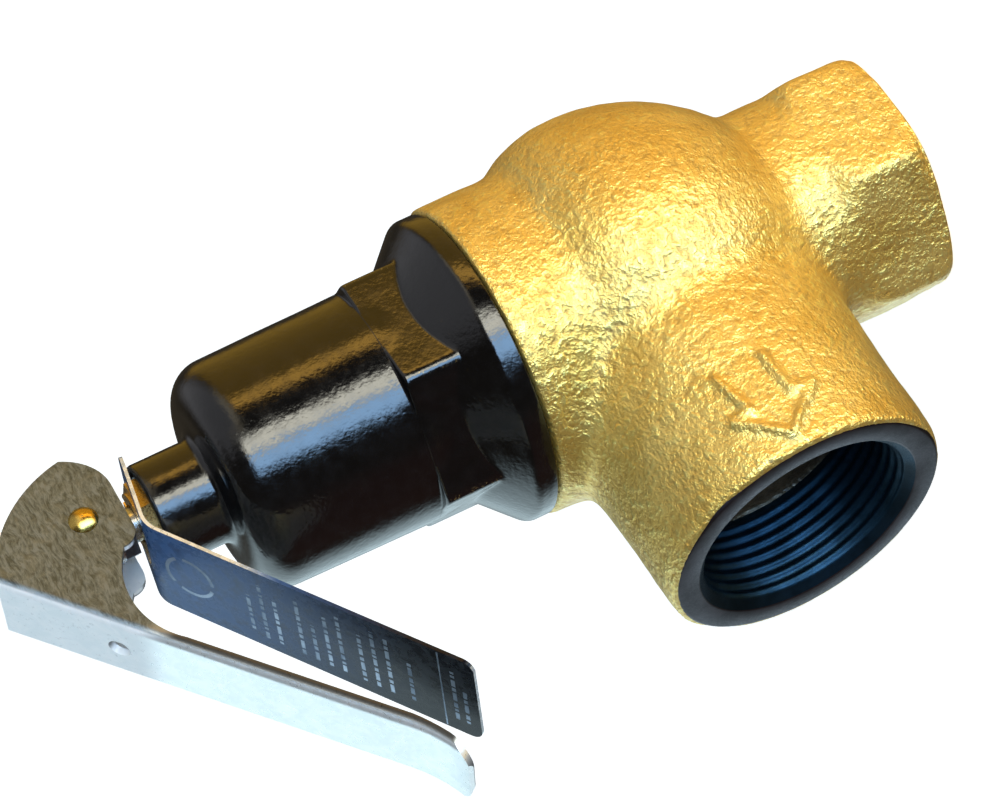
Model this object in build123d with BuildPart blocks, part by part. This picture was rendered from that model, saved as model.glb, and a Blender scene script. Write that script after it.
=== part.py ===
"""Angle-pattern pressure relief valve with a diaphragm, a lift lever and a nameplate.

Frame: origin at the centre of the inlet face, +Z up along the stem, +X towards the outlet.
All sizes are in millimetres.
"""
import os
from math import cos, pi, radians, sin, tan

from build123d import *

os.makedirs("parts", exist_ok=True)

# ---------------------------------------------------------------- driving dimensions
# body
INLET_HEX_FLATS = 42.4
INLET_HEX_HEIGHT = 17.0
INLET_THREAD_R = 14.9
INLET_THREAD_DEPTH = 17.0
INLET_PASSAGE_R = 12.9
INLET_HEX_TURN = 2.0
THROAT_R = 21.5
THROAT_TOP = 25.5
BULB_R = 32.9
BULB_Z = 52.0
BODY_NECK_R = 28.4
BODY_NECK_Z = 66.0
BODY_TOP = 80.6
OUTLET_Z = 49.1
OUTLET_FACE_X = 55.3
OUTLET_FACE_R = 25.9
OUTLET_ROOT_R = 26.6
OUTLET_THREAD_R = 19.2
OUTLET_THREAD_DEPTH = 18.0
OUTLET_PASSAGE_R = 14.5
CHAMBER_FLOOR = 31.0
LEDGE_Z = 66.0
LEDGE_R = 20.5
BONNET_BORE_R = 25.0

# seat and disc
NOZZLE_R = 17.0
NOZZLE_TOP = 36.5
SEAT_RING_R = 14.6
SEAT_RING_BORE_R = 11.0
SEAT_RING_FOOT = 32.5
SEAT_Z = 38.5
DISC_R = 14.0
DISC_THICKNESS = 3.0
DISC_WASHER_R = 7.5
DISC_WASHER_THICKNESS = 1.2
DISC_SCREW_R = 2.5
DISC_SCREW_HOLE_R = 2.6
DISC_SCREW_REACH = 8.0
DISC_SCREW_HEAD_R = 4.6
DISC_SCREW_HEAD = 2.6
SCREW_SLOT = 1.2

# guide and diaphragm stack, from the body's ledge upwards
GUIDE_PLATE = 2.0
GUIDE_TOP = 70.5
HUB_R = 5.0
HUB_CLEARANCE = 0.06
BUSH_R = 8.5
BUSH_DEPTH = 3.0
VENT_CIRCLE_R = 14.5
VENT_R = 2.8
VENT_COUNT = 6
DIAPHRAGM_THICKNESS = 1.5
CLAMP_RING_HEIGHT = 2.0
STACK_R = 24.8
FOLD_INNER_R = 11.5
FOLD_OUTER_R = 19.5
FOLD_RISE = 2.6
WASHER_R = 9.5
WASHER_THICKNESS = 1.5
DIAPHRAGM_NUT_FLATS = 13.0
DIAPHRAGM_NUT_HEIGHT = 4.2

# stem
STEM_R = 3.0
STEM_LOWER_R = 3.5
STEM_FOOT = 58.0
STEM_COLLAR_Z = 79.0
STEM_COLLAR_HEIGHT = 2.0
STEM_COLLAR_R = 5.6
STEM_CLEARANCE = 0.1
ADJUSTER_CLEARANCE = 0.5

# spring and buttons
BUTTON_R = 14.6
BUTTON_THICKNESS = 3.0
BUTTON_BOSS_R = 8.6
BUTTON_BOSS_HEIGHT = 3.0
SPRING_MEAN_R = 12.0
SPRING_WIRE_R = 1.8
SPRING_TOP = 121.0
SPRING_TURNS = 6

# bonnet
COLLAR_R = 27.8
COLLAR_RIM_TOP = 84.7
BONNET_HEX_FLATS = 40.9
BONNET_HEX_TOP = 99.0
BONNET_HEX_TURN = 5.0
DOME_R = 20.9
DOME_TOP_R = 20.5
DOME_TOP = 131.3
SHOULDER_R = 6.8
NECK_R = 9.3
NECK_TOP = 142.7
BONNET_CAVITY_R = 17.3
BONNET_CAVITY_TOP = 127.0
ADJUSTER_R = 5.4
ADJUSTER_SLOT_WIDTH = 1.6
ADJUSTER_SLOT_DEPTH = 1.2
LOCK_NUT_FLATS = 12.2
LOCK_NUT_HEIGHT = 1.8

# nameplate
PLATE_TURN = 6.0
PLATE_WIDTH = 20.6
PLATE_THICKNESS = 0.6
PLATE_TAB_BACK = -8.6
PLATE_BEND = 8.8
PLATE_TAB_TILT = 9.6
PLATE_SLOPE = 31.8
PLATE_LENGTH = 61.9
PLATE_HOLE_R = 7.2
PLATE_TAB_CORNER_R = 5.0
PLATE_END_CORNER_R = 2.2

# lever
PIN_Z = NECK_TOP + 11.0
PIN_R = 1.9
LEVER_HALF_WIDTH = 7.9
LEVER_SHEET = 1.3
LEVER_SLOPE = 39.7
HEEL_DEPTH = 6.9
HEEL_RISE = 4.2
HEEL_SWEEP = 65.0
WEB_OFFSET = 16.0
WEB_BACK = -8.0
HANDLE_TIP = 75.0
CURL_START = 64.0
LIP_DEPTH = 1.9
EAR_REACH = 25.0
BEND_R = 1.5
TIP_CORNER_R = 5.0
WEB_HOLE_R = 2.0
WEB_HOLE_ALONG = 13.0

# stem head, its jam nut, the pin and its washers
HEAD_FOOT = PIN_Z - 4.4
HEAD_TOP = PIN_Z + 4.6
HEAD_R = 5.2
HEAD_FLATS = 9.0
STEM_TOP = PIN_Z - 2.6
PIN_CLEARANCE = 0.05
JAM_NUT_FLATS = 9.6
JAM_NUT_HEIGHT = 2.6
PIN_WASHER_R = 4.2
PIN_WASHER_INNER_Y = 4.7
RIVET_HEAD_R = 2.5
RIVET_HEAD_HEIGHT = 1.2


def save(builder, name):
    """Label a finished piece and write it as parts/NAME.step."""
    builder.part.label = name
    export_step(builder.part, f"parts/{name}.step")


def turned_side(angle):
    """The vertical plane through the stem, turned about +Z by angle degrees."""
    a = radians(angle)
    return Plane(origin=(0, 0, 0), x_dir=(cos(a), sin(a), 0), z_dir=(sin(a), -cos(a), 0))


# ---------------------------------------------------------------- body
hex_corner_r = INLET_HEX_FLATS / 2 / cos(pi / 6)
with BuildPart() as body:
    with BuildSketch(Plane.XZ):
        with BuildLine():
            Polyline((0, 0), (hex_corner_r + 1, 0), (hex_corner_r + 1, INLET_HEX_HEIGHT))
            Line((hex_corner_r + 1, INLET_HEX_HEIGHT), (0, INLET_HEX_HEIGHT))
            Line((0, INLET_HEX_HEIGHT), (0, 0))
        make_face()
    revolve(axis=Axis.Z)
    with BuildSketch(Plane.XY):
        RegularPolygon(hex_corner_r, 6, rotation=INLET_HEX_TURN)
    extrude(amount=INLET_HEX_HEIGHT, mode=Mode.INTERSECT)
    # the hexagon's corners are turned off to a cone at both ends
    with BuildSketch(Plane.XZ):
        with BuildLine():
            Polyline(
                (0, 0), (hex_corner_r - 2.4, 0), (hex_corner_r, 2.0),
                (hex_corner_r, INLET_HEX_HEIGHT - 3.2), (THROAT_R, INLET_HEX_HEIGHT), (0, INLET_HEX_HEIGHT),
                close=True,
            )
        make_face()
    revolve(axis=Axis.Z, mode=Mode.INTERSECT)
    # throat, bulb and threaded neck
    with BuildSketch(Plane.XZ):
        with BuildLine():
            Line((0, 4.0), (THROAT_R - 1.5, 4.0))
            Line((THROAT_R - 1.5, 4.0), (THROAT_R - 1.5, INLET_HEX_HEIGHT - 2))
            Line((THROAT_R - 1.5, INLET_HEX_HEIGHT - 2), (THROAT_R, INLET_HEX_HEIGHT + 1))
            Line((THROAT_R, INLET_HEX_HEIGHT + 1), (THROAT_R, THROAT_TOP))
            ThreePointArc((THROAT_R, THROAT_TOP), (29.6, 36.6), (BULB_R, BULB_Z))
            ThreePointArc((BULB_R, BULB_Z), (31.7, 60.0), (BODY_NECK_R, BODY_NECK_Z))
            Line((BODY_NECK_R, BODY_NECK_Z), (BODY_NECK_R, BODY_TOP))
            Line((BODY_NECK_R, BODY_TOP), (0, BODY_TOP))
            Line((0, BODY_TOP), (0, 4.0))
        make_face()
    revolve(axis=Axis.Z)
    # outlet boss, a touch fuller at its root
    with BuildSketch(Plane.XY.offset(OUTLET_Z)):
        with BuildLine():
            Polyline(
                (0, 0), (0, OUTLET_ROOT_R), (28, OUTLET_ROOT_R),
                (OUTLET_FACE_X, OUTLET_FACE_R), (OUTLET_FACE_X, 0),
                close=True,
            )
        make_face()
    revolve(axis=Axis(origin=(0, 0, OUTLET_Z), direction=(1, 0, 0)))
    outlet_rim = body.faces().sort_by(Axis.X)[-1].edges()
    fillet(outlet_rim, 1.2)
    # chamber, with its raised seat nozzle left standing
    with BuildSketch(Plane.XZ):
        with BuildLine():
            Polyline((0, CHAMBER_FLOOR), (22.5, CHAMBER_FLOOR), (25.5, 35.0))
            ThreePointArc((25.5, 35.0), (29.0, 50.0), (26.5, 59.0))
            Polyline((26.5, 59.0), (LEDGE_R, 63.5), (LEDGE_R, LEDGE_Z))
            Polyline((LEDGE_R, LEDGE_Z), (BONNET_BORE_R, LEDGE_Z), (BONNET_BORE_R, BODY_TOP))
            Polyline((BONNET_BORE_R, BODY_TOP), (0, BODY_TOP), (0, CHAMBER_FLOOR))
        make_face()
    revolve(axis=Axis.Z, mode=Mode.SUBTRACT)
    with BuildSketch(Plane.XY.offset(CHAMBER_FLOOR - 1)):
        Circle(NOZZLE_R)
    extrude(amount=NOZZLE_TOP - CHAMBER_FLOOR + 1)
    # inlet thread bore, passage and the recess that holds the seat ring
    with BuildSketch(Plane.XY):
        Circle(INLET_THREAD_R)
    extrude(amount=INLET_THREAD_DEPTH, mode=Mode.SUBTRACT)
    with BuildSketch(Plane.XY.offset(INLET_THREAD_DEPTH)):
        Circle(INLET_PASSAGE_R)
    extrude(amount=NOZZLE_TOP - INLET_THREAD_DEPTH, mode=Mode.SUBTRACT)
    with BuildSketch(Plane.XY.offset(SEAT_RING_FOOT)):
        Circle(SEAT_RING_R)
    extrude(amount=NOZZLE_TOP - SEAT_RING_FOOT, mode=Mode.SUBTRACT)
    # outlet thread bore and passage
    outlet_plane = Plane(origin=(OUTLET_FACE_X, 0, OUTLET_Z), x_dir=(0, 1, 0), z_dir=(1, 0, 0))
    with BuildSketch(outlet_plane):
        Circle(OUTLET_THREAD_R)
    extrude(amount=-OUTLET_THREAD_DEPTH, mode=Mode.SUBTRACT)
    with BuildSketch(outlet_plane.offset(-OUTLET_THREAD_DEPTH)):
        Circle(OUTLET_PASSAGE_R)
    extrude(amount=-(OUTLET_FACE_X - OUTLET_THREAD_DEPTH - 20), mode=Mode.SUBTRACT)
save(body, "body")

# ---------------------------------------------------------------- seat ring
with BuildPart() as seat_ring:
    with BuildSketch(Plane.XZ):
        with BuildLine():
            Polyline(
                (SEAT_RING_BORE_R, SEAT_RING_FOOT), (SEAT_RING_R, SEAT_RING_FOOT),
                (SEAT_RING_R, NOZZLE_TOP), (SEAT_RING_BORE_R + 2.0, SEAT_Z - 0.6),
            )
            ThreePointArc(
                (SEAT_RING_BORE_R + 2.0, SEAT_Z - 0.6), (SEAT_RING_BORE_R + 1.2, SEAT_Z),
                (SEAT_RING_BORE_R + 0.4, SEAT_Z - 0.6),
            )
            Polyline((SEAT_RING_BORE_R + 0.4, SEAT_Z - 0.6), (SEAT_RING_BORE_R, SEAT_RING_FOOT))
        make_face()
    revolve(axis=Axis.Z)
save(seat_ring, "seat_ring")

# ---------------------------------------------------------------- seat disc, holder, washer and screw
disc_top = SEAT_Z + DISC_THICKNESS
with BuildPart() as seat_disc:
    with BuildSketch(Plane.XY.offset(SEAT_Z)):
        Circle(DISC_R)
        Circle(DISC_SCREW_HOLE_R, mode=Mode.SUBTRACT)
    extrude(amount=DISC_THICKNESS)
save(seat_disc, "seat_disc")

hub_top = GUIDE_TOP - 1.5
with BuildPart() as disc_holder:
    with BuildSketch(Plane.XZ):
        with BuildLine():
            Polyline(
                (0, disc_top), (DISC_R, disc_top), (DISC_R, SEAT_Z + 1.0), (DISC_R + 2.0, SEAT_Z + 1.0),
                (DISC_R + 2.0, disc_top + 2.0), (9.0, disc_top + 4.0), (HUB_R, disc_top + 7.0),
                (HUB_R, hub_top), (0, hub_top),
                close=True,
            )
        make_face()
    revolve(axis=Axis.Z)
    with BuildSketch(Plane.XY.offset(disc_top)):
        Circle(DISC_SCREW_R)
    extrude(amount=DISC_SCREW_REACH + 1.0, mode=Mode.SUBTRACT)
    with BuildSketch(Plane.XY.offset(STEM_FOOT)):
        Circle(STEM_LOWER_R)
    extrude(amount=hub_top - STEM_FOOT, mode=Mode.SUBTRACT)
save(disc_holder, "disc_holder")

with BuildPart() as disc_washer:
    with BuildSketch(Plane.XY.offset(SEAT_Z - DISC_WASHER_THICKNESS)):
        Circle(DISC_WASHER_R)
        Circle(DISC_SCREW_HOLE_R, mode=Mode.SUBTRACT)
    extrude(amount=DISC_WASHER_THICKNESS)
save(disc_washer, "disc_washer")

washer_foot = SEAT_Z - DISC_WASHER_THICKNESS
with BuildPart() as disc_screw:
    with BuildSketch(Plane.XY.offset(washer_foot)):
        Circle(DISC_SCREW_R)
    extrude(amount=disc_top + DISC_SCREW_REACH - washer_foot)
    with BuildSketch(Plane.XY.offset(washer_foot)):
        Circle(DISC_SCREW_HEAD_R)
    extrude(amount=-DISC_SCREW_HEAD)
    chamfer(disc_screw.edges().group_by(Axis.Z)[0], 0.6)
    with BuildSketch(Plane.XY.offset(washer_foot - DISC_SCREW_HEAD)):
        Rectangle(3 * DISC_SCREW_HEAD_R, SCREW_SLOT)
    extrude(amount=DISC_SCREW_HEAD / 2, mode=Mode.SUBTRACT)
save(disc_screw, "disc_screw")

# ---------------------------------------------------------------- stem guide
with BuildPart() as stem_guide:
    with BuildSketch(Plane.XZ):
        with BuildLine():
            Polyline(
                (HUB_R + HUB_CLEARANCE, LEDGE_Z - BUSH_DEPTH), (BUSH_R, LEDGE_Z - BUSH_DEPTH),
                (BUSH_R, LEDGE_Z), (STACK_R, LEDGE_Z),
                (STACK_R, GUIDE_TOP), (LEDGE_R, GUIDE_TOP), (LEDGE_R, LEDGE_Z + GUIDE_PLATE),
                (HUB_R + HUB_CLEARANCE, LEDGE_Z + GUIDE_PLATE),
                close=True,
            )
        make_face()
    revolve(axis=Axis.Z)
    with BuildSketch(Plane.XY.offset(LEDGE_Z)):
        with PolarLocations(VENT_CIRCLE_R, VENT_COUNT):
            Circle(VENT_R)
    extrude(amount=GUIDE_PLATE, mode=Mode.SUBTRACT)
save(stem_guide, "stem_guide")

# ---------------------------------------------------------------- diaphragm stack
diaphragm_top = GUIDE_TOP + DIAPHRAGM_THICKNESS
stem_hole_r = STEM_LOWER_R + STEM_CLEARANCE
fold_r = (FOLD_INNER_R + FOLD_OUTER_R) / 2
with BuildPart() as diaphragm:
    with BuildSketch(Plane.XZ):
        with BuildLine():
            Line((stem_hole_r, GUIDE_TOP), (FOLD_INNER_R, GUIDE_TOP))
            ThreePointArc((FOLD_INNER_R, GUIDE_TOP), (fold_r, GUIDE_TOP + FOLD_RISE), (FOLD_OUTER_R, GUIDE_TOP))
            Polyline((FOLD_OUTER_R, GUIDE_TOP), (STACK_R, GUIDE_TOP), (STACK_R, diaphragm_top))
            Line((STACK_R, diaphragm_top), (FOLD_OUTER_R, diaphragm_top))
            ThreePointArc(
                (FOLD_OUTER_R, diaphragm_top), (fold_r, diaphragm_top + FOLD_RISE), (FOLD_INNER_R, diaphragm_top)
            )
            Polyline((FOLD_INNER_R, diaphragm_top), (stem_hole_r, diaphragm_top), (stem_hole_r, GUIDE_TOP))
        make_face()
    revolve(axis=Axis.Z)
save(diaphragm, "diaphragm")

with BuildPart() as clamp_ring:
    with BuildSketch(Plane.XY.offset(diaphragm_top)):
        Circle(STACK_R)
        Circle(LEDGE_R, mode=Mode.SUBTRACT)
    extrude(amount=CLAMP_RING_HEIGHT)
save(clamp_ring, "clamp_ring")

with BuildPart() as lower_diaphragm_washer:
    with BuildSketch(Plane.XY.offset(hub_top)):
        Circle(WASHER_R)
        Circle(stem_hole_r, mode=Mode.SUBTRACT)
    extrude(amount=WASHER_THICKNESS)
    fillet(lower_diaphragm_washer.edges().group_by(Axis.Z)[0].sort_by(SortBy.RADIUS)[-1], 0.5)
save(lower_diaphragm_washer, "lower_diaphragm_washer")

with BuildPart() as upper_diaphragm_washer:
    with BuildSketch(Plane.XY.offset(diaphragm_top)):
        Circle(WASHER_R)
        Circle(stem_hole_r, mode=Mode.SUBTRACT)
    extrude(amount=WASHER_THICKNESS)
    fillet(upper_diaphragm_washer.edges().group_by(Axis.Z)[-1].sort_by(SortBy.RADIUS)[-1], 0.5)
save(upper_diaphragm_washer, "upper_diaphragm_washer")

nut_foot = diaphragm_top + WASHER_THICKNESS
with BuildPart() as diaphragm_nut:
    with BuildSketch(Plane.XY.offset(nut_foot)):
        RegularPolygon(DIAPHRAGM_NUT_FLATS / 2, 6, major_radius=False)
        Circle(STEM_LOWER_R, mode=Mode.SUBTRACT)
    extrude(amount=DIAPHRAGM_NUT_HEIGHT)
save(diaphragm_nut, "diaphragm_nut")

# ---------------------------------------------------------------- stem
collar_top = STEM_COLLAR_Z + STEM_COLLAR_HEIGHT
with BuildPart() as stem:
    with BuildSketch(Plane.XZ):
        with BuildLine():
            Polyline(
                (0, STEM_FOOT), (STEM_LOWER_R, STEM_FOOT), (STEM_LOWER_R, STEM_COLLAR_Z),
                (STEM_COLLAR_R, STEM_COLLAR_Z), (STEM_COLLAR_R, collar_top), (STEM_R, collar_top),
                (STEM_R, STEM_TOP), (0, STEM_TOP),
                close=True,
            )
        make_face()
    revolve(axis=Axis.Z)
save(stem, "stem")

# ---------------------------------------------------------------- spring and its buttons
lower_button_bore_r = STEM_R + STEM_CLEARANCE
with BuildPart() as lower_spring_button:
    with BuildSketch(Plane.XZ):
        with BuildLine():
            Polyline(
                (lower_button_bore_r, collar_top), (BUTTON_R - 3, collar_top), (BUTTON_R, collar_top + 1),
                (BUTTON_R, collar_top + BUTTON_THICKNESS), (BUTTON_BOSS_R, collar_top + BUTTON_THICKNESS),
                (BUTTON_BOSS_R - 1.0, collar_top + BUTTON_THICKNESS + BUTTON_BOSS_HEIGHT),
                (lower_button_bore_r, collar_top + BUTTON_THICKNESS + BUTTON_BOSS_HEIGHT),
                close=True,
            )
        make_face()
    revolve(axis=Axis.Z)
save(lower_spring_button, "lower_spring_button")

button_top = SPRING_TOP + BUTTON_THICKNESS
adjuster_bore_r = STEM_R + ADJUSTER_CLEARANCE
with BuildPart() as upper_spring_button:
    with BuildSketch(Plane.XZ):
        with BuildLine():
            Polyline(
                (adjuster_bore_r, SPRING_TOP - BUTTON_BOSS_HEIGHT),
                (BUTTON_BOSS_R - 1.0, SPRING_TOP - BUTTON_BOSS_HEIGHT),
                (BUTTON_BOSS_R, SPRING_TOP), (BUTTON_R, SPRING_TOP), (BUTTON_R, button_top - 1),
                (BUTTON_R - 3, button_top), (adjuster_bore_r, button_top),
                close=True,
            )
        make_face()
    revolve(axis=Axis.Z)
save(upper_spring_button, "upper_spring_button")

spring_foot = collar_top + BUTTON_THICKNESS
coil_height = SPRING_TOP - spring_foot - 2 * SPRING_WIRE_R
with BuildPart() as spring:
    with BuildLine() as spring_line:
        Helix(
            pitch=coil_height / SPRING_TURNS, height=coil_height, radius=SPRING_MEAN_R,
            center=(0, 0, spring_foot + SPRING_WIRE_R),
        )
    coil_start = Plane(
        origin=(SPRING_MEAN_R, 0, spring_foot + SPRING_WIRE_R), x_dir=(1, 0, 0), z_dir=spring_line.line % 0
    )
    with BuildSketch(coil_start):
        Circle(SPRING_WIRE_R)
    sweep(path=spring_line.line, is_frenet=True)
save(spring, "spring")

# ---------------------------------------------------------------- bonnet
cone_top_r = BONNET_CAVITY_R + 2.5
cone_top = COLLAR_RIM_TOP + (COLLAR_R - cone_top_r)
bonnet_corner_r = BONNET_HEX_FLATS / 2 / cos(pi / 6)
with BuildPart() as bonnet:
    with BuildSketch(Plane.XY.offset(BODY_TOP + 1)):
        RegularPolygon(bonnet_corner_r, 6, rotation=BONNET_HEX_TURN)
    extrude(amount=BONNET_HEX_TOP - BODY_TOP - 1)
    with BuildSketch(Plane.XZ):
        with BuildLine():
            Polyline(
                (0, BODY_TOP), (bonnet_corner_r + 1, BODY_TOP), (bonnet_corner_r + 1, BONNET_HEX_TOP - 1.4),
                (bonnet_corner_r - 0.9, BONNET_HEX_TOP), (0, BONNET_HEX_TOP),
                close=True,
            )
        make_face()
    revolve(axis=Axis.Z, mode=Mode.INTERSECT)
    with BuildSketch(Plane.XZ):
        with BuildLine():
            Polyline(
                (0, diaphragm_top + CLAMP_RING_HEIGHT), (STACK_R, diaphragm_top + CLAMP_RING_HEIGHT),
                (STACK_R, BODY_TOP), (COLLAR_R, BODY_TOP), (COLLAR_R, COLLAR_RIM_TOP - 0.9),
            )
            ThreePointArc(
                (COLLAR_R, COLLAR_RIM_TOP - 0.9), (COLLAR_R - 0.35, COLLAR_RIM_TOP + 0.1),
                (COLLAR_R - 1.2, COLLAR_RIM_TOP + 1.0),
            )
            Polyline(
                (COLLAR_R - 1.2, COLLAR_RIM_TOP + 1.0), (cone_top_r, cone_top),
                (0, cone_top), (0, diaphragm_top + CLAMP_RING_HEIGHT),
            )
        make_face()
    revolve(axis=Axis.Z)
    with BuildSketch(Plane.XZ):
        with BuildLine():
            Polyline(
                (0, BODY_TOP + 2), (BONNET_CAVITY_R + 1, BODY_TOP + 2), (DOME_R, BONNET_HEX_TOP - 1),
                (DOME_R, BONNET_HEX_TOP), (DOME_TOP_R, DOME_TOP - SHOULDER_R),
            )
            RadiusArc((DOME_TOP_R, DOME_TOP - SHOULDER_R), (DOME_TOP_R - SHOULDER_R, DOME_TOP), -SHOULDER_R)
            Line((DOME_TOP_R - SHOULDER_R, DOME_TOP), (NECK_R + 1.6, DOME_TOP + 0.2))
            RadiusArc((NECK_R + 1.6, DOME_TOP + 0.2), (NECK_R, DOME_TOP + 1.8), 1.6)
            Polyline(
                (NECK_R, DOME_TOP + 1.8), (NECK_R, NECK_TOP - 0.4), (NECK_R - 0.4, NECK_TOP),
                (0, NECK_TOP), (0, BODY_TOP + 2),
            )
        make_face()
    revolve(axis=Axis.Z)
    # spring chamber, its threaded skirt and the adjuster's threaded bore
    with BuildSketch(Plane.XZ):
        with BuildLine():
            Polyline(
                (0, BODY_TOP - 8), (LEDGE_R, BODY_TOP - 8), (LEDGE_R, BODY_TOP - 1), (BONNET_CAVITY_R, BODY_TOP + 3),
                (BONNET_CAVITY_R, BONNET_CAVITY_TOP - 4), (BONNET_CAVITY_R - 4, BONNET_CAVITY_TOP),
                (ADJUSTER_R, BONNET_CAVITY_TOP), (ADJUSTER_R, NECK_TOP), (0, NECK_TOP),
                close=True,
            )
        make_face()
    revolve(axis=Axis.Z, mode=Mode.SUBTRACT)
save(bonnet, "bonnet")

# ---------------------------------------------------------------- adjusting screw and lock nut
adjuster_top = NECK_TOP + LOCK_NUT_HEIGHT + 0.6
with BuildPart() as adjusting_screw:
    with BuildSketch(Plane.XY.offset(button_top)):
        Circle(ADJUSTER_R)
        Circle(adjuster_bore_r, mode=Mode.SUBTRACT)
    extrude(amount=adjuster_top - button_top)
    with BuildSketch(Plane.XY.offset(adjuster_top - ADJUSTER_SLOT_DEPTH)):
        Rectangle(3 * ADJUSTER_R, ADJUSTER_SLOT_WIDTH)
    extrude(amount=ADJUSTER_SLOT_DEPTH, mode=Mode.SUBTRACT)
save(adjusting_screw, "adjusting_screw")

with BuildPart() as lock_nut:
    with BuildSketch(Plane.XY.offset(NECK_TOP)):
        RegularPolygon(LOCK_NUT_FLATS / 2, 6, rotation=15, major_radius=False)
        Circle(ADJUSTER_R, mode=Mode.SUBTRACT)
    extrude(amount=LOCK_NUT_HEIGHT)
save(lock_nut, "lock_nut")

# ---------------------------------------------------------------- nameplate
plate_plane = turned_side(PLATE_TURN)
tab_tilt = radians(PLATE_TAB_TILT)
slope = radians(PLATE_SLOPE)
tab_back_z = NECK_TOP + PLATE_THICKNESS
bend_z = tab_back_z + (PLATE_BEND - PLATE_TAB_BACK) * tan(tab_tilt)
tip_x = PLATE_BEND + PLATE_LENGTH * cos(slope)
tip_z = bend_z - PLATE_LENGTH * sin(slope)
with BuildPart() as nameplate:
    with BuildSketch(plate_plane):
        with BuildLine() as plate_line:
            FilletPolyline((PLATE_TAB_BACK, tab_back_z), (PLATE_BEND, bend_z), (tip_x, tip_z), radius=6.0)
            offset(amount=PLATE_THICKNESS, side=Side.RIGHT)
        make_face()
    extrude(amount=PLATE_WIDTH / 2, both=True)
    with BuildSketch(Plane.XY.offset(NECK_TOP - 1)):
        Circle(PLATE_HOLE_R)
    extrude(amount=8, mode=Mode.SUBTRACT)
    plate_corners = nameplate.edges().filter_by(lambda e: e.length < PLATE_THICKNESS * 1.2).sort_by(Axis.X)
    fillet(plate_corners[:2], PLATE_TAB_CORNER_R)
    plate_corners = nameplate.edges().filter_by(lambda e: e.length < PLATE_THICKNESS * 1.2).sort_by(Axis.X)
    fillet(plate_corners[-2:], PLATE_END_CORNER_R)
save(nameplate, "nameplate")

# ---------------------------------------------------------------- stem head, jam nut, lever pin and washers
with BuildPart() as stem_head:
    with BuildSketch(Plane.XY.offset(HEAD_FOOT)):
        Circle(HEAD_R)
    extrude(amount=HEAD_TOP - HEAD_FOOT)
    chamfer(stem_head.edges().group_by(Axis.Z)[-1], 0.8)
    with BuildSketch(Plane.XY.offset(HEAD_FOOT)):
        Rectangle(3 * HEAD_R, HEAD_FLATS)
    extrude(amount=HEAD_TOP - HEAD_FOOT, mode=Mode.INTERSECT)
    with BuildSketch(Plane.XY.offset(HEAD_FOOT)):
        Circle(STEM_R)
    extrude(amount=STEM_TOP - HEAD_FOOT, mode=Mode.SUBTRACT)
    with BuildSketch(Plane.XZ):
        with Locations((0, PIN_Z)):
            Circle(PIN_R + PIN_CLEARANCE)
    extrude(amount=HEAD_FLATS, both=True, mode=Mode.SUBTRACT)
save(stem_head, "stem_head")

with BuildPart() as stem_jam_nut:
    with BuildSketch(Plane.XY.offset(HEAD_FOOT - JAM_NUT_HEIGHT)):
        RegularPolygon(JAM_NUT_FLATS / 2, 6, major_radius=False)
        Circle(STEM_R, mode=Mode.SUBTRACT)
    extrude(amount=JAM_NUT_HEIGHT)
save(stem_jam_nut, "stem_jam_nut")

rivet_half = LEVER_HALF_WIDTH + RIVET_HEAD_HEIGHT
rivet_dome_r = (RIVET_HEAD_R**2 + RIVET_HEAD_HEIGHT**2) / (2 * RIVET_HEAD_HEIGHT)
rivet_rise = (rivet_dome_r**2 - (RIVET_HEAD_R / 2) ** 2) ** 0.5 - rivet_dome_r
with BuildPart() as lever_pin:
    with BuildSketch(Plane.YZ):
        with BuildLine():
            Line((-rivet_half, PIN_Z), (rivet_half, PIN_Z))
            ThreePointArc(
                (rivet_half, PIN_Z), (rivet_half + rivet_rise, PIN_Z + RIVET_HEAD_R / 2),
                (LEVER_HALF_WIDTH, PIN_Z + RIVET_HEAD_R),
            )
            Polyline(
                (LEVER_HALF_WIDTH, PIN_Z + RIVET_HEAD_R), (LEVER_HALF_WIDTH, PIN_Z + PIN_R),
                (-LEVER_HALF_WIDTH, PIN_Z + PIN_R), (-LEVER_HALF_WIDTH, PIN_Z + RIVET_HEAD_R),
            )
            ThreePointArc(
                (-LEVER_HALF_WIDTH, PIN_Z + RIVET_HEAD_R), (-rivet_half - rivet_rise, PIN_Z + RIVET_HEAD_R / 2),
                (-rivet_half, PIN_Z),
            )
        make_face()
    revolve(axis=Axis(origin=(0, 0, PIN_Z), direction=(0, 1, 0)))
save(lever_pin, "lever_pin")

with BuildPart() as pin_washers:
    for side in (1, -1):
        inner_face = Plane(origin=(0, side * PIN_WASHER_INNER_Y, PIN_Z), x_dir=(1, 0, 0), z_dir=(0, side, 0))
        with BuildSketch(inner_face):
            Circle(PIN_WASHER_R)
            Circle(PIN_R, mode=Mode.SUBTRACT)
        extrude(amount=LEVER_HALF_WIDTH - LEVER_SHEET - PIN_WASHER_INNER_Y)
save(pin_washers, "pin_washers")

# ---------------------------------------------------------------- lever
lever_slope = radians(LEVER_SLOPE)
pin_side = Plane(origin=(0, 0, PIN_Z), x_dir=(1, 0, 0), z_dir=(0, -1, 0))


def on_web(along, above):
    """A point of the lever's side view, measured along its web and square to it from the pin."""
    return (
        along * cos(lever_slope) + above * sin(lever_slope),
        -along * sin(lever_slope) + above * cos(lever_slope),
    )


def heel_point(sweep):
    """A point of the cam heel, an involute, so a flat face under it moves evenly with the lever."""
    a = radians(sweep)
    reach = HEEL_DEPTH + HEEL_RISE * a
    return (-reach * sin(a) - HEEL_RISE * cos(a), -reach * cos(a) + HEEL_RISE * sin(a))


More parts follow.
